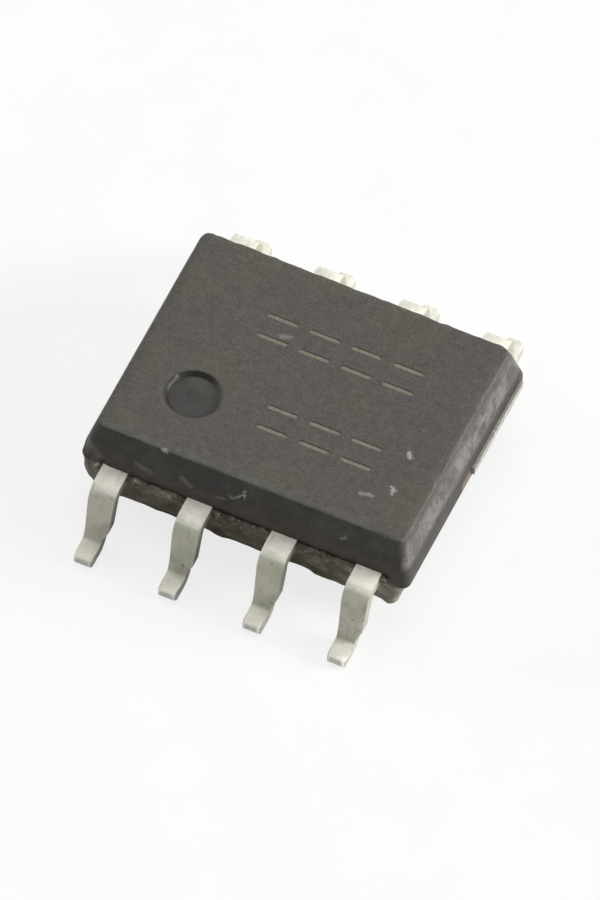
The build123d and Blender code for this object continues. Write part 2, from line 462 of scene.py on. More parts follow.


# %% [markdown]
# ## Ends, band and lower half
#
# The left end is painted pale near its rim, a painted highlight of the light from the left, and the
# upper half of the right end carries pale blotches as painted sheen, above a dark strip along its
# foot. The band that holds the lead frame is dark brown, and the lower half is browner still, because
# release wax and flux stay there. The height of a place on the body says which of these shows, and a
# cloud pattern moves each border up and down, so none is a ruled line.
#
# %% Painted highlights on the ends
def on_right_end(material, place):
    """1 on the end face away from pin 1."""
    return ramp(material, parts_of(material, place)[0], half_length - 0.17, half_length - 0.10)


def on_upper_right(material, place):
    """1 on the end face away from pin 1 where it belongs to the upper half."""
    above_band = ramp(material, parts_of(material, place)[2], frame_top - 0.01, frame_top + 0.02)
    return times(material, on_right_end(material, place), above_band)


def painted_highlights_on_ends(material, place, colour, blotches):
    """The rim of the left end painted pale as a highlight, and pale blotches painted on the upper half
    of the right end as its sheen.
    """
    x = parts_of(material, place)[0]
    # Painted highlight: the rim of the left end is made pale, in blotches.
    left_end_highlight = times(
        material, ramp(material, x, 0.15 - half_length, 0.04 - half_length, 0, 0.7),
        ramp(material, blotches, 0.38, 0.60),
    )
    colour = mix(material, left_end_highlight, colour, linear(128, 126, 122))
    # Painted sheen: pale blotches on the upper half of the right end.
    right_end_sheen_blotches = times(
        material, on_upper_right(material, place), ramp(material, blotches, 0.38, 0.60, 0.1, 0.75)
    )
    return mix(material, right_end_sheen_blotches, colour, linear(114, 112, 108))


# %% Stains round the parting line
def stained_foot(material, place, colour, stains, blotches):
    """Brown stains that climb the sides from below, and the dark foot of the right end."""
    z = parts_of(material, place)[2]
    climbing = math_node(material, "SUBTRACT", z, times(material, stains, 0.7))
    low_stain = ramp(material, climbing, 0.78, 0.98, 0.7, 0)
    colour = mix(material, low_stain, colour, linear(84, 76, 70))
    creeping = math_node(material, "SUBTRACT", z, times(material, blotches, 0.25))
    foot = ramp(material, creeping, frame_top - 0.02, frame_top + 0.08, 0.8, 0)
    dark_foot = times(material, on_upper_right(material, place), foot)
    return mix(material, dark_foot, colour, linear(40, 38, 35))


def parting_band(material, place, colour):
    """Dark brown on the band as thick as the lead frame, nearly black at the right end."""
    z = parts_of(material, place)[2]
    band = times(
        material, ramp(material, z, frame_bottom - 0.02, frame_bottom + 0.01),
        ramp(material, z, frame_top - 0.01, frame_top + 0.02, 1, 0),
    )
    at_end = on_right_end(material, place)
    tone = mix(material, at_end, linear(58, 52, 42), linear(30, 28, 25))
    return mix(material, times(material, band, 0.85), colour, tone)


def wax_and_flux(material, place, colour, stains, brown, crumbs):
    """Brown and olive stains on the lower half, or all over a rough ledge, and pale crumbs."""
    lower = ramp(
        material, parts_of(material, place)[2], frame_bottom - 0.02, frame_bottom + 0.01, 1, 0
    )
    rust = mix(
        material, ramp(material, stains, 0.38, 0.70), linear(86, 79, 68), linear(160, 150, 139)
    )
    olive = ramp(material, noise(material, place, 1.9, 3.0), 0.42, 0.6, 0, 0.35)
    rust = mix(material, olive, rust, linear(104, 100, 82))
    amount = math_node(material, "MAXIMUM", times(material, lower, 0.85), brown)
    colour = mix(material, amount, colour, rust)
    crumb = ramp(material, noise(material, place, 11.0, 5.0, 0.75), 0.54, 0.66, 0, crumbs)
    return mix(material, crumb, colour, linear(206, 194, 182))


# %% All the layers together
def mould_compound(name="mould_compound", brown=0.0, crumbs=0.0):
    """Epoxy with ground glass. Brown is release wax and flux, crumbs are broken pale grains."""
    material, place = new_material(name)
    mottling = noise(material, place, 7.0, 6.0, 0.7)
    fine = noise(material, place, 30.0, 5.0, 0.7)
    stains = noise(material, place, 2.6, 4.0, 0.62, 0.3)
    blotches = noise(material, place, 4.0, 6.0, 0.75, 0.4)
    on_top = ramp(material, parts_of(material, place)[2], body_top - 0.03, body_top - 0.012)
    colour = skin(material, place, mottling, fine)
    colour = rim_and_sides(material, place, colour, on_top, mottling)
    colour = dimple_darkening(material, place, colour)
    colour = scratched(material, place, colour, fine)
    colour = painted_highlights_on_ends(material, place, colour, blotches)
    colour = stained_foot(material, place, colour, stains, blotches)
    colour = parting_band(material, place, colour)
    colour = wax_and_flux(material, place, colour, stains, brown, crumbs)
    rough = math_node(material, "ADD", times(material, on_top, 0.20), 0.42)
    rough = math_node(material, "ADD", rough, ramp(material, mottling, 0.2, 0.8, -0.08, 0.08))
    height = math_node(material, "ADD", mottling, times(material, fine, 0.4))
    return surface(
        material, Base_Color=colour, Roughness=rough, Specular_IOR_Level=0.25,
        Normal=bump(material, height, 0.02, 0.7),
    )


body_material = mould_compound()
print("mould compound has", len(body_material.node_tree.nodes), "nodes")

# %% [markdown]
# ## Ways of working at the bench
#
# Modelling by hand is a round of the same moves: add a block at its size and place, open it in
# edit mode, pick faces or edges, and extrude, scale or bevel what is picked. A script picks by
# looking at where things are, with a small test such as "the faces that point up". At the end the
# faces are turned outwards, because pushing and scaling can leave some of them inside out.
#
# %% Helpers for edit mode
def block(name, low, high):
    """A box from corner to corner, opened for editing with nothing picked."""
    low, high = Vector(low), Vector(high)
    bpy.ops.mesh.primitive_cube_add(size=1, location=(low + high) / 2, scale=high - low)
    piece = bpy.context.object
    piece.name = name
    bpy.ops.object.transform_apply(location=True, rotation=True, scale=True)
    bpy.ops.object.mode_set(mode="EDIT")
    bpy.ops.mesh.select_all(action="DESELECT")
    return piece


def pick(kind, test):
    """Pick the faces, edges or vertices of the open piece that pass a test."""
    mesh = bmesh.from_edit_mesh(bpy.context.object.data)
    bpy.ops.mesh.select_mode(type=kind)
    bpy.ops.mesh.select_all(action="DESELECT")
    elements = {"FACE": mesh.faces, "EDGE": mesh.edges, "VERT": mesh.verts}[kind]
    for element in elements:
        if test(element):
            element.select_set(True)
    mesh.select_flush_mode()
    bmesh.update_edit_mesh(bpy.context.object.data)


def along(edge):
    """The direction of an edge."""
    return (edge.verts[1].co - edge.verts[0].co).normalized()


def push(offset, scale=(1, 1, 1), about=(0, 0, 0)):
    """Extrude what is picked by an offset, then scale it about a point."""
    bpy.ops.mesh.extrude_region_move(TRANSFORM_OT_translate={"value": offset})
    bpy.ops.transform.resize(value=scale, center_override=about)


def close_piece(piece):
    """Leave edit mode with the faces pointing outwards."""
    bpy.ops.mesh.select_all(action="SELECT")
    bpy.ops.mesh.normals_make_consistent(inside=False)
    bpy.ops.object.mode_set(mode="OBJECT")
    return piece


# %% [markdown]
# ## The upper half of the moulding
#
# The real body is pressed in a mould of two halves, each a shallow tray with walls that lean by 15
# degrees so that the part lets go. A band as thick as the lead frame joins them. A cone or a scaled
# cube would lean too, but not by the same amount on a long and a short side. So each half is a block
# whose end face is extruded and scaled down by what the draft takes off, with its upright edges
# bevelled round. Here is the upper half, with the band.
#
# %% Upper half
corner_radius = 0.13
top_edge_radius = 0.022
upper_height = body_top - frame_top
hair = 0.001                    # how near a height has to be to count as that height


def shrink(length, width, height):
    """How much smaller the far face of a half is, for its draft."""
    inset = 2 * height * math.tan(draft)
    return ((length - inset) / length, (width - inset) / width, 1)


upper = block(
    "moulded_body", (-half_length, -half_width, frame_bottom), (half_length, half_width, frame_top)
)
pick("FACE", lambda f: f.normal.z > 0.9)
push((0, 0, upper_height), shrink(body_length, body_width, upper_height))
pick("EDGE", lambda e: abs(along(e).z) > 0.5)
bpy.ops.mesh.bevel(offset=corner_radius, segments=10, affect="EDGES")
pick("EDGE", lambda e: all(v.co.z > body_top - hair for v in e.verts))
bpy.ops.mesh.bevel(offset=top_edge_radius, segments=4, affect="EDGES")
close_piece(upper)
print("upper half has", len(upper.data.polygons), "faces")

# %% [markdown]
# ## Cutting and welding
#
# Cutting one shape out of another, or welding two, is a Boolean modifier. By hand one would add it,
# look, and apply it; here it is applied at once, and the tool that did the cutting is put away. An
# operator acts on all that is selected, so one piece is always chosen alone first.
#
# %% Helpers for modifiers
def choose(piece):
    """Select one piece alone and make it the active one."""
    bpy.ops.object.select_all(action="DESELECT")
    piece.select_set(True)
    bpy.context.view_layer.objects.active = piece


def apply_modifier(piece, kind, **settings):
    """Add a modifier to a closed piece and apply it at once."""
    choose(piece)
    modifier = piece.modifiers.new(kind.lower(), kind)
    for name, value in settings.items():
        setattr(modifier, name, value)
    bpy.ops.object.modifier_apply(modifier=modifier.name)


def combine(piece, tool, operation="DIFFERENCE"):
    """Cut a tool out of a piece, or weld it on, and put the tool away."""
    apply_modifier(piece, "BOOLEAN", object=tool, operation=operation, solver="EXACT")
    bpy.data.objects.remove(tool)


# %% [markdown]
# ## The lower half
#
# The halves of a mould never line up quite, so the lower one sits 0.05 mm towards pin 1 and leaves a
# fine step. It is made in the same way, upside down: a thin block is pulled down to the underside
# and its face is scaled there. A Boolean union welds the two, as the resin did.
#
# %% Lower half
bottom_edge_radius = 0.03
starting_height = 0.1
drop = frame_bottom - standoff
lower = block(
    "lower_half",
    (-half_length - mould_shift, -half_width, frame_bottom - starting_height),
    (half_length - mould_shift, half_width, frame_bottom),
)
pick("FACE", lambda f: f.normal.z < -0.9)
bpy.ops.transform.translate(value=(0, 0, starting_height - drop))
bpy.ops.transform.resize(
    value=shrink(body_length, body_width, drop), center_override=(-mould_shift, 0, standoff)
)
pick("EDGE", lambda e: abs(along(e).z) > 0.5)
bpy.ops.mesh.bevel(offset=corner_radius, segments=10, affect="EDGES")
pick("EDGE", lambda e: all(v.co.z < standoff + hair for v in e.verts))
bpy.ops.mesh.bevel(offset=bottom_edge_radius, segments=3, affect="EDGES")
close_piece(lower)
combine(upper, lower, "UNION")
moulding = upper
print("moulding has", len(moulding.data.polygons), "faces")

# %% [markdown]
# ## Dimple
#
# A pin in the mould leaves the round dimple that marks pin 1, with a sloping wall and a flat floor
# that has a tiny nub in its middle. A cone cuts it, narrow end down, with its own middle at the
# height of the face. Then the floor is picked by its place and inset, and the small disc that is
# left is raised and narrowed to the nub. The rim is bevelled last, because a cut edge is sharp.
#
# %% Helpers to open a piece again
def edit(piece):
    """Open a piece again."""
    choose(piece)
    bpy.ops.object.mode_set(mode="EDIT")


def middle_of(element):
    """The mean of the corners of an edge or a face."""
    return sum((v.co for v in element.verts), Vector()) / len(element.verts)


# %% Cut the dimple and round its rim
dimple_floor_radius = 0.345
dimple_depth = 0.06
nub_radius = 0.03
nub_height = 0.012
nub_taper = 0.6
rim_round = 0.012

bpy.ops.mesh.primitive_cone_add(
    vertices=96, radius1=dimple_floor_radius, radius2=2 * dimple_radius - dimple_floor_radius,
    depth=2 * dimple_depth, location=dimple_place,
)
combine(moulding, bpy.context.object)


def off_dimple(point):
    """How far a point is from the axis of the dimple."""
    return (point - dimple_place).to_2d().length


edit(moulding)
pick("FACE", lambda f: off_dimple(middle_of(f)) < 0.1
     and abs(middle_of(f).z - body_top + dimple_depth) < 0.01)
bpy.ops.mesh.inset(thickness=dimple_floor_radius - nub_radius)
bpy.ops.transform.translate(value=(0, 0, nub_height))
bpy.ops.transform.resize(value=(nub_taper, nub_taper, 1), center_override=dimple_place)
pick("EDGE", lambda e: all(abs(off_dimple(v.co) - dimple_radius) < 0.01 for v in e.verts)
     and middle_of(e).z > body_top - hair)
bpy.ops.mesh.bevel(offset=rim_round, segments=3, affect="EDGES")
close_piece(moulding)
print("dimple is", 2 * dimple_radius, "mm wide and", dimple_depth, "mm deep")

# %% [markdown]
# ## Ejector mark and tie bar windows
#
# An ejector pin pushes the part out of the mould and leaves a shallow disc in the underside, which a
# cylinder cuts. The tie bars of the die paddle end flush in both ends of the band. The packed
# paddle already has those bars, so a small window is cut there and the metal shows in it.
#
# %% Cut the ejector mark and the windows
ejector_radius = 0.40
ejector_depth = 0.025
tie_bar_width = 0.30
window_depth = 0.15

bpy.ops.mesh.primitive_cylinder_add(
    vertices=96, radius=ejector_radius, depth=2 * ejector_depth, location=(0, 0, standoff)
)
combine(moulding, bpy.context.object)
for side in (-1, 1):
    ends = sorted((side * (half_length - window_depth), side * (half_length + window_depth)))
    window = block(
        "window", (ends[0], -tie_bar_width / 2, frame_bottom), (ends[1], tie_bar_width / 2, frame_top)
    )
    close_piece(window)
    combine(moulding, window)
print("moulding has", len(moulding.data.polygons), "faces")

# %% [markdown]
# ## Etched strokes
#
# A laser burns shallow grooves with a paler, dusty floor into the face. This chip is a part for any
# use, so it has plain pairs of strokes, four over three. A bump in the material would look flat from
# the side, so they are cut. One stroke is a short cylinder drawn out to a slot; such cutters are
# joined to one tool and cut all at once.
#
# %% Cut the strokes
stroke_width = 0.07
stroke_length = 0.40
stroke_depth = 0.012
cell_pitch = 0.63
last_cell = 1.19
stroke_rows = {0.70: 4, -0.70: 3}
pair_gap = 0.36
cutter_reach = 0.05


def joined(pieces):
    """Several closed pieces as one object."""
    bpy.ops.object.select_all(action="DESELECT")
    for piece in pieces:
        piece.select_set(True)
    bpy.context.view_layer.objects.active = pieces[0]
    bpy.ops.object.join()
    return pieces[0]


def stroke(x, y):
    """A slot-shaped cutter with its middle at x, y on the top face."""
    bpy.ops.mesh.primitive_cylinder_add(
        vertices=24, radius=stroke_width / 2, depth=2 * cutter_reach,
        location=(x - stroke_length / 2, y, body_top - stroke_depth + cutter_reach),
    )
    bpy.ops.object.transform_apply(location=True, rotation=True, scale=True)
    bpy.ops.object.mode_set(mode="EDIT")
    pick("VERT", lambda v: v.co.x > x - stroke_length / 2 + hair)
    bpy.ops.transform.translate(value=(stroke_length, 0, 0))
    return close_piece(bpy.context.object)


strokes = []
for row_y, cells in stroke_rows.items():
    for cell in range(cells):
        for half in (-1, 1):
            strokes.append(stroke(last_cell - cell * cell_pitch, row_y + half * pair_gap / 2))
print("strokes:", len(strokes))
combine(moulding, joined(strokes))

# %% [markdown]
# ## Points to move
#
# A moulding that has been knocked about has no ruler-straight edge, and the lower half of this one
# is lumpy with resin that stuck to it. A displacement needs points to move, and the walls so far are
# single large faces. A subdivision would crowd points into the round corners. So the body is cut
# into a grid of a tenth of a millimetre by bisecting it again and again.
#
# %% A grid of cuts
grid_step = 0.10
last_cut_x = 2.45
last_cut_y = 1.95
lowest_cut = 0.23
highest_cut = 1.63


def sliced(piece, axis, first, last):
    """Cut a piece through by planes across an axis, from first to last."""
    edit(piece)
    cuts = round((last - first) / grid_step)
    for cut in range(cuts + 1):
        bpy.ops.mesh.select_all(action="SELECT")
        bpy.ops.mesh.bisect(plane_co=axis * (first + cut * grid_step), plane_no=axis)
    close_piece(piece)


sliced(moulding, Vector((1, 0, 0)), -last_cut_x, last_cut_x)
sliced(moulding, Vector((0, 1, 0)), -last_cut_y, last_cut_y)
sliced(moulding, Vector((0, 0, 1)), lowest_cut, highest_cut)
print("moulding has", len(moulding.data.polygons), "faces")

# %% [markdown]
# ## Nothing is quite straight
#
# A cloud pattern now moves the lower half by some hundredths, and a finer one nibbles the rim of the
# top. A vertex group gives each point its weight, so the rest stays flat. The nibbles have a high
# middle level, which makes nearly all of them go inwards: a worn edge loses resin and gains none.
#
# %% Lumps below and a nibbled rim
lumps_end = 0.80                # no lumps above this height
lumps_fade = 0.15
lump_size, lump_height = 0.35, 0.09
rim_reach = 0.08
chip_size, chip_height, chip_middle = 0.12, 0.045, 0.84


def clouds(name, size, detail):
    """A cloud pattern for a displacement, with lumps of a size in millimetres."""
    pattern = bpy.data.textures.new(name, "CLOUDS")
    pattern.noise_scale = size
    pattern.noise_depth = detail
    return pattern


def uneven(piece, name, weight, size, height, middle=0.5):
    """Move points by a cloud pattern, each by its own weight. A high middle moves most inwards."""
    group = piece.vertex_groups.new(name=name)
    for vertex in piece.data.vertices:
        group.add([vertex.index], weight(vertex.co), "REPLACE")
    apply_modifier(
        piece, "DISPLACE", texture=clouds(name, size, 2), strength=height, mid_level=middle,
        vertex_group=name,
    )
    piece.vertex_groups.clear()


def lump_weight(point):
    """1 on the lower half, fading to 0 below the lead frame."""
    return min(1, max(0, (lumps_end - point.z) / lumps_fade))


def rim_weight(point):
    """1 on the rim of the top face, 0 where the rim is further away than its reach."""
    inset = (body_top - point.z) * math.tan(draft)
    beyond = max(abs(point.x) - (half_length - face_inset), abs(point.y) - face_edge) - inset
    return max(0, 1 - max(abs(beyond), body_top - point.z) / rim_reach)


uneven(moulding, "lower_lumps", lump_weight, lump_size, lump_height)
uneven(moulding, "rim_chips", rim_weight, chip_size, chip_height, chip_middle)
print("lowest point of the moulding:", round(min(v.co.z for v in moulding.data.vertices), 3))

# %% [markdown]
# ## A knocked corner
#
# The near left corner of this chip has had a knock, and the band is crushed round there. By hand one
# would grab a few points with proportional editing on, which drags their neighbours along. That
# works in a script too: the points of the band's corner are picked, and the move gives how wide the
# pull spreads.
#
# %% Knock the corner round
knocked_corner = Vector((-half_length, -half_width, frame_top))
knock_height = 0.96
knock_reach = 0.12
knock_move = (0.03, 0.11, 0)
knock_spread = 0.35

edit(moulding)
pick("VERT", lambda v: (v.co - knocked_corner).to_2d().length < knock_reach
     and abs(v.co.z - knock_height) < knock_reach)
bpy.ops.transform.translate(
    value=knock_move, use_proportional_edit=True, proportional_edit_falloff="SMOOTH",
    proportional_size=knock_spread,
)
close_piece(moulding)
print("corner moved by", knock_move)

# %% [markdown]
# ## Handing a piece over
#
# A finished piece leaves the bench in the same way each time: it is shrunk to metres about the origin,
# and the size is applied, so that the object itself stays unturned and unscaled. It is shaded smooth
# except over sharp edges, gets its materials, is hung on the body it rides on, and the imported nodes
# it stands for are hidden.
#
# %% Hand over
def hand_over(piece, nodes, materials, smooth=30):
    """Shrink a finished piece from bench scale to real size, hang it on the body and hide the imported
    nodes it stands for.
    """
    choose(piece)
    bpy.ops.transform.resize(value=(MM, MM, MM), center_override=(0, 0, 0))
    bpy.ops.object.transform_apply(location=True, rotation=True, scale=True)
    bpy.ops.object.shade_smooth_by_angle(angle=math.radians(smooth))
    for material in materials:
        piece.data.materials.append(material)
    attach(piece, "root")
    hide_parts(*nodes)
    print(piece.name, "has", len(piece.data.polygons), "faces")


# %% [markdown]
# ## Finish of the strokes
#
# Where the laser burnt the resin away, what stays is pale dust of glass. It gets a material of its
# own, and only the floors of the strokes wear it. They are found by their height once the body has
# its real size, and the worn rim, which can reach the same height, is kept out.
#
# %% Finish of the strokes, and the body handed over
floor_play = 0.003
rim_margin = 0.2


def laser_mark():
    """Pale glass dust in the burnt grooves."""
    material, place = new_material("laser_mark")
    dust = noise(material, place, 18.0, 5.0, 0.7)
    colour = mix(
        material, ramp(material, dust, 0.3, 0.7), linear(112, 109, 94), linear(140, 137, 122)
    )
    return surface(
        material, Base_Color=colour, Roughness=ramp(material, dust, 0.2, 0.8, 0.75, 0.9),
        Specular_IOR_Level=0.2, Normal=bump(material, dust, 0.012, 0.8),
    )


def is_stroke_floor(face):
    """True for a level face at the depth of the strokes, well inside the rim of the top."""
    level = face.normal.z > 0.9
    deep = abs(face.center.z / MM - body_top + stroke_depth) < floor_play
    inside = (
        abs(face.center.x / MM) < half_length - face_inset - rim_margin
        and abs(face.center.y / MM) < face_edge - rim_margin
    )
    return level and deep and inside


hand_over(moulding, ["body"], [body_material, laser_mark()])
for face in moulding.data.polygons:
    face.material_index = 1 if is_stroke_floor(face) else 0
print("etched floors:", sum(f.material_index == 1 for f in moulding.data.polygons))

# %% [markdown]
# ## Resin that crept out of the mould
#
# Where the two halves of the mould met, a little resin was squeezed out between the leads and was
# broken off again. What is left is a rough ledge along each side and a broken lip at the end where
# the resin came in. A straight block would look machined, so each ledge is a fine grid, extruded
# down in a few layers, whose skin is then moved in and out by a cloud pattern.
#
# %% A rough block
skin_middle = 0.62              # over 0.5, so that more is broken off than added
grain_step = 0.026


def rough_ledge(name, low, high, lump, roughness):
    """A block of fine faces with a broken skin."""
    low, high = Vector(low), Vector(high)
    span = high - low
    bpy.ops.mesh.primitive_grid_add(
        size=1, x_subdivisions=math.ceil(span.x / grain_step),
        y_subdivisions=math.ceil(span.y / grain_step),
        location=(low.x + span.x / 2, low.y + span.y / 2, high.z),
    )
    ledge = bpy.context.object
    ledge.name = name
    bpy.ops.transform.resize(value=(span.x, span.y, 1), center_override=ledge.location)
    bpy.ops.object.transform_apply(location=True, rotation=True, scale=True)
    bpy.ops.object.mode_set(mode="EDIT")
    bpy.ops.mesh.select_all(action="SELECT")
    layers = math.ceil(span.z / grain_step)
    for _ in range(layers):
        bpy.ops.mesh.extrude_region_move(TRANSFORM_OT_translate={"value": (0, 0, -span.z / layers)})
    close_piece(ledge)
    apply_modifier(
        ledge, "DISPLACE", texture=clouds(name, lump, 3), strength=roughness, mid_level=skin_middle
    )
    return ledge


print("grain of the broken resin:", grain_step, "mm")

# %% [markdown]
# ## The two ledges
#
# The near ledge ends before the corners. The far one runs on round its right corner to the gate,
# where it was broken off at a slant, so a bisecting plane takes the outer corner away and fills the
# cut. Both wear the body's compound with more brown and with pale crumbs, as broken resin shows
# its glass.
#
# %% Ledges
ledge_reach = 2.19
ledge_depth = 0.08
ledge_thickness = 0.12
ledge_back = 0.10               # how far it is sunk into the body
ledge_sink = 0.02               # how far its top lies under the parting line
ledge_lump = 0.10
ledge_roughness = 0.10
corner_reach = half_length + 0.01
slant_place = (half_length - 0.18, half_width + ledge_depth, 0)
slant_normal = (1, 2.3, 0)

ledge_material = mould_compound("rough_resin", brown=0.6, crumbs=0.8)
for side, name in ((-1, "resin_ledge_near"), (1, "resin_ledge_far")):
    ends = sorted((side * (half_width - ledge_back), side * (half_width + ledge_depth)))
    right_end = corner_reach if side > 0 else ledge_reach
    ledge = rough_ledge(
        name, (-ledge_reach, ends[0], frame_top - ledge_thickness),
        (right_end, ends[1], frame_top - ledge_sink), ledge_lump, ledge_roughness,
    )
    if side > 0:
        edit(ledge)
        bpy.ops.mesh.select_all(action="SELECT")
        bpy.ops.mesh.bisect(
            plane_co=slant_place, plane_no=slant_normal, use_fill=True, clear_outer=True
        )
        close_piece(ledge)
    hand_over(ledge, ["body"], [ledge_material], smooth=60)


# %% [markdown]
# ## The gate
#
# The gate is the mouth that the resin came in by. Its runner is snapped off after moulding, which
# leaves a thin lip of clean broken resin on the end away from pin 1. That is the same rough block
# with a finer skin, and a paler grey, because no hand has darkened it.
#
# %% Gate
gate_start, gate_end = 0.17, 1.80
gate_back = 0.15                # how far it is sunk into the body
gate_lip = 0.042
gate_thickness = 0.14
gate_lump = 0.25
gate_roughness = 0.012


def gate_resin():
    """Fresh broken resin, paler than the skin of the moulding."""
    material, place = new_material("gate_resin")
    grain = noise(material, place, 16.0, 5.0, 0.7)
    colour = mix(
        material, ramp(material, grain, 0.3, 0.7), linear(118, 115, 108), linear(162, 159, 151)
    )
    return surface(
        material, Base_Color=colour, Roughness=ramp(material, grain, 0.2, 0.8, 0.5, 0.7),
        Normal=bump(material, grain, 0.01, 0.8),
    )


gate_low = (half_length - gate_back, gate_start, frame_top - gate_thickness)
gate_high = (half_length + gate_lip, gate_end, frame_top)
gate = rough_ledge("broken_gate", gate_low, gate_high, gate_lump, gate_roughness)
hand_over(gate, ["body"], [gate_resin()], smooth=60)

# %% [markdown]
# ## Gull-wing leads: the bent strip
#
# Each lead is one strip of copper alloy. On the real line it is punched to its outline while flat,
# plated, and then bent over an anvil. Here the strip is bent first, while it is a plain bar and easy
# to pick: a block is extruded straight out of the body, spun round the shoulder bend, pushed down
# the leg, spun back round the foot bend and pushed out to the toe. The lower edge of the toe is
# rounded, as a punch leaves one edge of what it cuts.
#
# %% Path of the lead
lead_span = 6.00
foot_run = 0.42
leg_lean = math.radians(16)
shoulder_bend = 0.05
foot_bend = 0.06
under_toe = 0.11
toe = lead_span / 2
middle_line = frame_thickness / 2
turn = math.pi / 2 - leg_lean
leg_drop = frame_top - 2 * middle_line
foot_corner = toe - foot_run
shoulder_corner = foot_corner - leg_drop * math.tan(leg_lean)
shoulder_start = shoulder_corner - (shoulder_bend + middle_line) * math.tan(turn / 2)
foot_start = foot_corner + (foot_bend + middle_line) * math.tan(turn / 2)
leg_length = leg_drop / math.cos(leg_lean) - (
    shoulder_bend + foot_bend + 2 * middle_line
) * math.tan(turn / 2)
bend_steps = 10


def bent_strip(inner_end, half_strip):
    """The near-side strip at x = 0, as wide as its widest part, from its inner end to its toe."""
    strip = block(
        "strip", (-half_strip, -shoulder_start, frame_bottom), (half_strip, -inner_end, frame_top)
    )
    pick("FACE", lambda f: f.normal.y < -0.9)
    bpy.ops.mesh.spin(
        steps=bend_steps, angle=-turn, axis=(1, 0, 0),
        center=(0, -shoulder_start, frame_bottom - shoulder_bend),
    )
    bpy.ops.mesh.extrude_region_move(TRANSFORM_OT_translate={
        "value": (0, -leg_length * math.sin(leg_lean), -leg_length * math.cos(leg_lean))
    })
    bpy.ops.mesh.spin(
        steps=bend_steps, angle=turn, axis=(1, 0, 0),
        center=(0, -foot_start, frame_thickness + foot_bend),
    )
    bpy.ops.mesh.extrude_region_move(TRANSFORM_OT_translate={"value": (0, foot_start - toe, 0)})
    pick("EDGE", lambda e: abs(along(e).x) > 0.9 and middle_of(e).y < hair - toe
         and middle_of(e).z < 0.01)
    bpy.ops.mesh.bevel(offset=under_toe, segments=5, affect="EDGES")
    close_piece(strip)
    lowest = min(v.co.z for v in strip.data.vertices)
    print("strip reaches down to", round(lowest, 4), "and out to",
          round(min(v.co.y for v in strip.data.vertices), 4))
    return strip


# %% [markdown]
# ## Gull-wing leads: the outline
#
# Seen from above a lead is wide inside the body, narrower at the shoulder and narrowest at the foot.
# The bent strip is trimmed to that by a second block, as a punch would: its end face is extruded
# and scaled at each change of width, and a Boolean keeps what both have in common. In the
# photograph the foot isn't in the middle of its lead but a little to one side, so its two edges have
# values of their own.
#
# %% Outline of the lead
shoulder_width = 0.38
foot_edges = (-0.155, 0.12)
neck_run = 0.20
toe_radius = 0.075


def outline_cutter(inner_edge, outer_edge, tip, neck):
    """A tall block with the outline of the lead from above. The finger inside may lie to one side."""
    cutter = block("outline", (inner_edge, -neck, -1), (outer_edge, -tip, 2))
    pick("FACE", lambda f: f.normal.y < -0.9)
    ratio = shoulder_width / (outer_edge - inner_edge)
    centre = -(inner_edge + outer_edge) / 2 * ratio / (1 - ratio)
    push((0, -neck_run, 0), (ratio, 1, 1), (centre, 0, 0))
    push((0, neck + neck_run - foot_corner - middle_line, 0))
    foot_ratio = (foot_edges[1] - foot_edges[0]) / shoulder_width
    foot_centre = sum(foot_edges) / 2 / (1 - foot_ratio)
    push((0, 0, 0), (foot_ratio, 1, 1), (foot_centre, 0, 0))
    push((0, foot_corner + middle_line - toe, 0))
    pick("EDGE", lambda e: abs(along(e).z) > 0.9 and middle_of(e).y < hair - toe)
    bpy.ops.mesh.bevel(offset=toe_radius, segments=5, affect="EDGES")
    return close_piece(cutter)


# %% [markdown]
# ## Gull-wing leads: the narrowing leg
#
# The leg stands nearly upright, so from above its narrowing can't be seen or cut. It is trimmed from
# the front: a wedge stands beside the foot on each side, upright up to the height where the taper
# begins and leaning out above it, until it leaves the lead at the full width. The taper is long and
# high on one side and short and low on the other, as the photograph shows.
#
# %% Wedges beside the leg
tapers = ((0.36, 0.80), (0.24, 0.40))       # bottom and top of the taper on each side
wedge_play = 0.1                            # how far a wedge reaches past the lead


def leg_trimmer(edge, side, taper):
    """A wedge beside the foot, which cuts the leg narrower from the taper down."""
    taper_bottom, taper_top = taper
    wide = side * shoulder_width / 2
    ends = sorted((edge, side * pitch / 2))
    trimmer = block(
        "trimmer", (ends[0], -toe - wedge_play, -wedge_play),
        (ends[1], -half_width - wedge_play, taper_bottom),
    )
    pick("FACE", lambda f: f.normal.z > 0.9)
    push((0, 0, taper_top - taper_bottom))
    pick("EDGE", lambda e: abs(along(e).y) > 0.9 and abs(middle_of(e).x - edge) < 0.01
         and middle_of(e).z > taper_top - 0.01)
    bpy.ops.transform.translate(value=(wide - edge, 0, 0))
    return close_piece(trimmer)


# %% [markdown]
# ## Gull-wing leads: three patterns
#
# A whole lead is the strip, cut by the outline and by both wedges. Cuts can leave points that
# almost meet, which would make stray slivers in a file for printing, so these are merged. The long
# edges get a small round, because punched edges are never sharp, and the upper edge of the toe a
# larger one. The fingers inside the body differ, so there are three patterns: one for the inner
# leads and one for each corner.
#
# %% Three patterns of lead
edge_round = 0.016
toe_round = 0.04
finger_play = 0.02              # how much wider the strip is than its outline


def weld_slivers(piece):
    """Merge points that lie within a micrometre of each other, which cuts can leave behind."""
    edit(piece)
    bpy.ops.mesh.select_all(action="SELECT")
    bpy.ops.mesh.remove_doubles(threshold=0.001)
    bpy.ops.mesh.dissolve_degenerate(threshold=0.001)
    close_piece(piece)


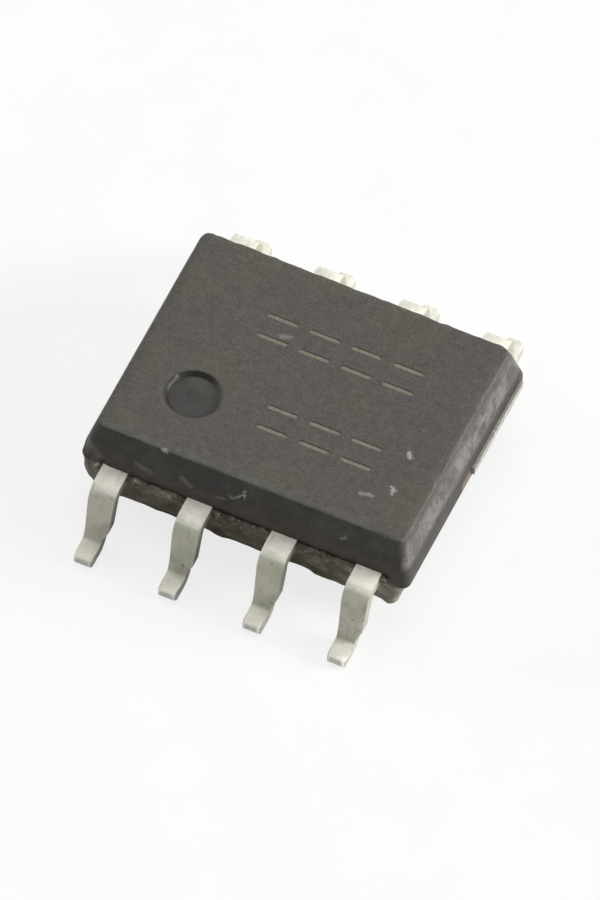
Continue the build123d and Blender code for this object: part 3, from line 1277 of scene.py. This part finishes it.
def formed_lead(inner_edge, outer_edge, tip, neck):
    """One whole lead at x = 0 on the near side."""
    strip = bent_strip(tip - 0.01, max(abs(inner_edge), abs(outer_edge)) + finger_play)
    combine(strip, outline_cutter(inner_edge, outer_edge, tip, neck), "INTERSECT")
    for edge, side, taper in zip(foot_edges, (-1, 1), tapers):
        combine(strip, leg_trimmer(edge, side, taper))
    weld_slivers(strip)
    edit(strip)
    pick("EDGE", lambda e: abs(along(e).z) < 0.1 and middle_of(e).y < toe_radius - toe
         and middle_of(e).z > frame_thickness - hair and abs(along(e).y) < 0.99)
    bpy.ops.mesh.bevel(offset=toe_round, segments=3, affect="EDGES")
    close_piece(strip)
    apply_modifier(
        strip, "BEVEL", width=edge_round, segments=2, limit_method="ANGLE",
        angle_limit=math.radians(40),
    )
    weld_slivers(strip)
    return strip


# left edge and right edge of the finger, then how far its tip and its neck are from the chip's middle
inner_finger = (-0.30, 0.30, 1.05, 1.41)
corner_finger = (-0.455, 0.245, 0.35, 1.30)
other_corner = (-0.245, 0.455, 0.35, 1.30)
patterns = {
    "inner": formed_lead(*inner_finger),
    "corner": formed_lead(*corner_finger),
    "other_corner": formed_lead(*other_corner),
}
print({name: len(lead.data.polygons) for name, lead in patterns.items()})

# %% [markdown]
# ## Finish of the leads
#
# The leads are plated with tin, which dulls to a pale grey with a warm tinge, with fine pits and
# streaks from forming. The foot, which faces up, is painted paler as painted light, and the leg is
# painted darker and greener as painted shade. The sides are painted darker as shade, and the end of
# the toe, cut after plating, is bare metal. Inside the body the strip is copper, with silver where the
# wires land. The place on the lead says which of them shows, again in layers.
#
# %% Plating
paddle_side = 1.35              # silver starts here, beside the die paddle


def plated(material, place, on_leg, cloudy):
    """Tin, cloudy all over; on the leg painted darker as shade and smudged, on the foot painted
    lighter as light.
    """
    z = parts_of(material, place)[2]
    tin = mix(
        material, ramp(material, cloudy, 0.32, 0.68), linear(206, 204, 190), linear(234, 232, 220)
    )
    # Painted shade: the leg, which faces away from the light, is darker and greener.
    shaded_leg_tone = mix(
        material, ramp(material, noise(material, place, 1.3, 2.0), 0.4, 0.6),
        linear(180, 184, 160), linear(206, 200, 186),
    )
    smudge = ramp(material, noise(material, place, 4.2, 3.0, 0.6), 0.5, 0.66, 0, 0.4)
    shaded_leg_tone = mix(material, smudge, shaded_leg_tone, linear(118, 115, 102))
    tin = mix(material, times(material, on_leg, 0.75), tin, shaded_leg_tone)
    # Painted light: the foot, which faces up, is lighter.
    painted_light_on_foot = ramp(material, z, frame_thickness, frame_thickness - 0.03, 0, 0.6)
    tin = mix(material, painted_light_on_foot, tin, linear(240, 240, 234))
    worn = noise(material, stretch(material, place, (9.0, 1.6, 1.6)), 2.2, 4.0, 0.6)
    return mix(material, ramp(material, worn, 0.6, 0.75, 0, 0.5), tin, linear(140, 136, 122))


def pitting(material, place, on_leg, fine):
    """Small pits, deepest on the leg."""
    spots = add(
        material, "ShaderNodeTexVoronoi", Vector=place, Scale=5.5, Randomness=1.0
    ).outputs["Distance"]
    ragged = math_node(material, "ADD", spots, times(material, fine, 0.25))
    return times(
        material, ramp(material, ragged, 0.16, 0.32, 0.65, 0), ramp(material, on_leg, 0, 1, 0.3, 1)
    )


# %% Bare metal, copper and silver
def toe_end_and_shaded_sides(material, place, colour, fine):
    """The bare end of the toe, and the sides painted darker as shade."""
    outwards = math_node(material, "ABSOLUTE", parts_of(material, place)[1])
    bare = mix(material, ramp(material, fine, 0.3, 0.7), linear(196, 193, 184), linear(222, 219, 210))
    colour = mix(material, ramp(material, outwards, toe - 0.012, toe - 0.006), colour, bare)
    # Painted shade: faces that point along x are darkened.
    facing = add(material, "ShaderNodeTexCoord").outputs["Normal"]
    sideways = math_node(material, "ABSOLUTE", parts_of(material, facing)[0])
    return mix(material, ramp(material, sideways, 0.6, 0.9, 0, 0.75), colour, linear(128, 125, 114))


def finger_metal(material, place, colour, fine):
    """Copper inside the body, and silver where the wires land."""
    outwards = math_node(material, "ABSOLUTE", parts_of(material, place)[1])
    copper = mix(material, ramp(material, fine, 0.3, 0.7), linear(176, 106, 72), linear(206, 138, 100))
    outside = ramp(material, outwards, half_width - 0.12, half_width - 0.08)
    colour = mix(material, outside, copper, colour)
    silver = ramp(material, outwards, paddle_side, paddle_side - 0.02)
    return mix(material, silver, colour, linear(226, 224, 218))


# %% All the layers of the lead together
def tin_plate():
    """The whole finish of a lead, outside and inside the body."""
    material, place = new_material("tin_plate")
    z = parts_of(material, place)[2]
    cloudy = noise(material, place, 3.5, 5.0, 0.65)
    fine = noise(material, place, 26.0, 4.0, 0.6)
    on_leg = times(
        material, ramp(material, z, frame_thickness - 0.02, frame_thickness + 0.04),
        ramp(material, z, frame_top - 0.075, frame_top - 0.045, 1, 0),
    )
    pitted = pitting(material, place, on_leg, fine)
    colour = plated(material, place, on_leg, cloudy)
    colour = mix(material, pitted, colour, linear(92, 88, 78))
    colour = toe_end_and_shaded_sides(material, place, colour, fine)
    colour = finger_metal(material, place, colour, fine)
    rough = ramp(material, cloudy, 0.3, 0.7, 0.48, 0.6)
    height = math_node(material, "SUBTRACT", fine, times(material, pitted, 0.8))
    return surface(
        material, Base_Color=colour, Metallic=0.15, Roughness=rough,
        Normal=bump(material, height, 0.008, 0.8),
    )


tin = tin_plate()
print("tin plate has", len(tin.node_tree.nodes), "nodes")

# %% [markdown]
# ## Eight leads from three
#
# The four leads of a side are the two inner ones and a corner one for each end, and the far side
# is the near side turned half round. So three leads are modelled, and each of the eight is a copy
# with a mesh of its own. The patterns themselves are put away at the end.
#
# %% Copy and place the leads
def place_lead(number, pattern, x, far):
    """A copy of a pattern lead, moved along its row and turned half round for the far side."""
    lead = patterns[pattern].copy()
    lead.data = patterns[pattern].data.copy()
    lead.name = "formed_lead_" + str(number)
    bpy.context.scene.collection.objects.link(lead)
    lead.matrix_world = Matrix.Translation((x, 0, 0))
    if far:
        lead.matrix_world = Matrix.Rotation(math.pi, 4, "Z") @ lead.matrix_world
    hand_over(lead, ["lead_" + str(number)], [tin])


row = ["other_corner", "inner", "inner", "corner"]
for number, (pattern, x) in enumerate(zip(row, pin_places), start=1):
    place_lead(number, pattern, x, far=False)
    place_lead(number + len(row), pattern, x, far=True)
for lead in patterns.values():
    bpy.data.objects.remove(lead)


# %% [markdown]
# ## Inside the body: paddle and adhesive
#
# Nothing opens the body, but the model holds what the real chip has inside, so those nodes get
# their finishes too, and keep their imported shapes. The die paddle is rolled copper, with lines along
# the way it was rolled, and its bar ends are dull where they were cut. The adhesive is grey, filled
# with silver flakes.
#
# %% Copper and adhesive
def frame_copper():
    """Rolled copper, dull at the cut ends of the tie bars."""
    material, place = new_material("frame_copper")
    x = parts_of(material, place)[0]
    rolled = noise(material, stretch(material, place, (1.0, 14.0, 14.0)), 2.0, 5.0, 0.6)
    colour = mix(
        material, ramp(material, rolled, 0.3, 0.7), linear(150, 104, 78), linear(186, 140, 110)
    )
    ends = ramp(material, math_node(material, "ABSOLUTE", x), half_length - 0.1, half_length - 0.05)
    colour = mix(material, ends, colour, linear(128, 112, 94))
    return surface(
        material, Base_Color=colour, Metallic=0.9,
        Roughness=ramp(material, rolled, 0.2, 0.8, 0.3, 0.5),
        Normal=bump(material, rolled, 0.006, 0.6),
    )


def die_adhesive():
    """Grey glue with silver flakes."""
    material, place = new_material("die_adhesive")
    flakes = noise(material, place, 40.0, 3.0, 0.7)
    colour = mix(
        material, ramp(material, flakes, 0.35, 0.65), linear(118, 117, 114), linear(176, 175, 172)
    )
    return surface(
        material, Base_Color=colour, Metallic=0.3,
        Roughness=ramp(material, flakes, 0.3, 0.7, 0.45, 0.7),
        Normal=bump(material, flakes, 0.004, 0.8),
    )


# %% [markdown]
# ## Inside the body: die and wires
#
# The die is polished silicon. Its circuit can't be told apart by eye, only a faint grid of blocks in
# shifting colours, and a brick pattern with uneven rows is enough for that. The bond wires are
# drawn gold.
#
# %% Silicon and gold
def silicon():
    """Polished silicon with a faint grid of circuit blocks."""
    material, place = new_material("silicon")
    blocks = add(
        material, "ShaderNodeTexBrick", {"offset": 0.3, "squash": 0.6, "squash_frequency": 3},
        Vector=place, Color1=linear(58, 62, 78), Color2=linear(84, 80, 92),
        Mortar=linear(128, 112, 84), Scale=4.0, Mortar_Size=0.015, Bias=0.1,
    )
    film = noise(material, place, 2.0, 3.0)
    colour = mix(
        material, ramp(material, film, 0.4, 0.7, 0, 0.4), blocks.outputs["Color"],
        linear(70, 88, 96),
    )
    return surface(
        material, Base_Color=colour, Metallic=0.4,
        Roughness=ramp(material, film, 0.2, 0.8, 0.12, 0.22),
    )


def gold_wire():
    """Drawn gold, a little uneven."""
    material, place = new_material("gold_wire")
    drawn = noise(material, place, 30.0, 3.0)
    colour = mix(
        material, ramp(material, drawn, 0.3, 0.7), linear(214, 168, 86), linear(240, 202, 124)
    )
    return surface(
        material, Base_Color=colour, Metallic=1.0,
        Roughness=ramp(material, drawn, 0.2, 0.8, 0.2, 0.32),
    )


# %% Finishes given to the inner nodes
pin_count = 2 * len(row)
finishes = {"die_paddle": frame_copper(), "die_attach": die_adhesive(), "die": silicon()}
gold = gold_wire()
for number in range(1, pin_count + 1):
    finishes["bond_wire_" + str(number)] = gold
for node, material in finishes.items():
    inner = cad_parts[node].data
    inner.materials.clear()
    inner.materials.append(material)
print("finished", len(finishes), "inner nodes")
